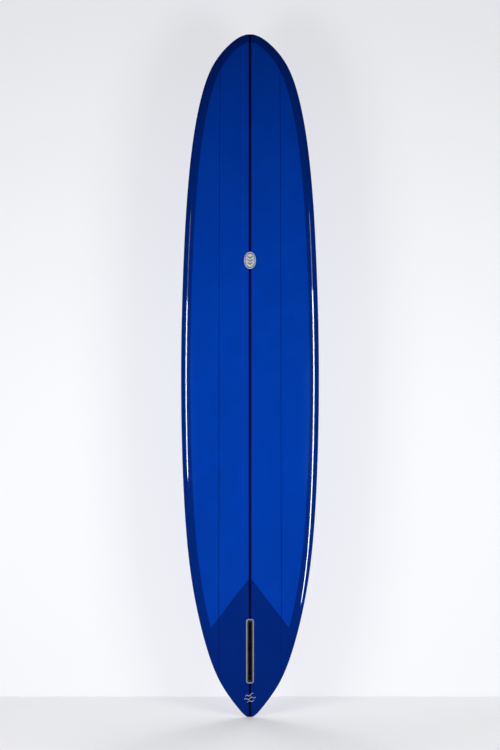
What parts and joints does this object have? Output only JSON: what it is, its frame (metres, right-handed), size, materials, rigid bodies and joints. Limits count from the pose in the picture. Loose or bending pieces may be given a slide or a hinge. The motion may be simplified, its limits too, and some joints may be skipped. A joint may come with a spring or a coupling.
{
  "type": "surfboard",
  "caption": "Blue resin-tinted longboard with a wide centre stringer, lapped glass laminates, an empty fin box, a sliding fin plate with its screw and a leash plug",
  "frame": {"origin": "under the middle of the bounding box, at the tail tip's level, as the board stands on its tail", "axes": "+Z from the tail tip to the nose tip, +Y out of the deck, +X to the right of somebody who faces the bottom"},
  "size_m": [0.576, 0.129, 2.8956],
  "materials": {
    "foam": "closed-cell foam, shaped and sanded",
    "stringer_wood": "sawn timber strip, glued in",
    "tinted_glass": "polished blue resin tint over glass cloth",
    "tinted_glass_lap": "polished blue resin tint, two layers deep at the laps",
    "emblem_print": "printed tissue under the gloss",
    "filled_resin": "white filled resin, sanded flush",
    "box_plastic": "moulded black plastic",
    "steel": "stainless steel"
  },
  "bodies": {
    "board": {"foam_left_outer": "foam", "foam_left_inner": "foam", "foam_right_inner": "foam", "foam_right_outer": "foam", "left_stringer": "stringer_wood", "centre_stringer": "stringer_wood", "right_stringer": "stringer_wood", "bottom_laminate": "tinted_glass", "deck_inner_laminate": "tinted_glass", "deck_outer_laminate": "tinted_glass_lap", "tail_patch": "tinted_glass_lap", "emblem": "emblem_print", "fin_box_resin_bed": "filled_resin", "fin_box": "box_plastic", "leash_plug_resin_bed": "filled_resin", "leash_plug_cup": "box_plastic", "leash_plug_bar": "steel"},
    "plate": {"fin_plate": "steel"},
    "screw": {"fin_screw": "steel"}
  },
  "joints": [
    {"name": "plate_slide", "type": "slide", "parent": "board", "child": "plate", "axis": [0, -0.0709, 0.9975], "range_m": [0, 0.212]},
    {"name": "screw_turn", "type": "hinge", "parent": "plate", "child": "screw", "pos_m": [0, -0.00898, 0.16598], "axis": [0, -0.9975, -0.0709], "continuous": true}
  ]
}
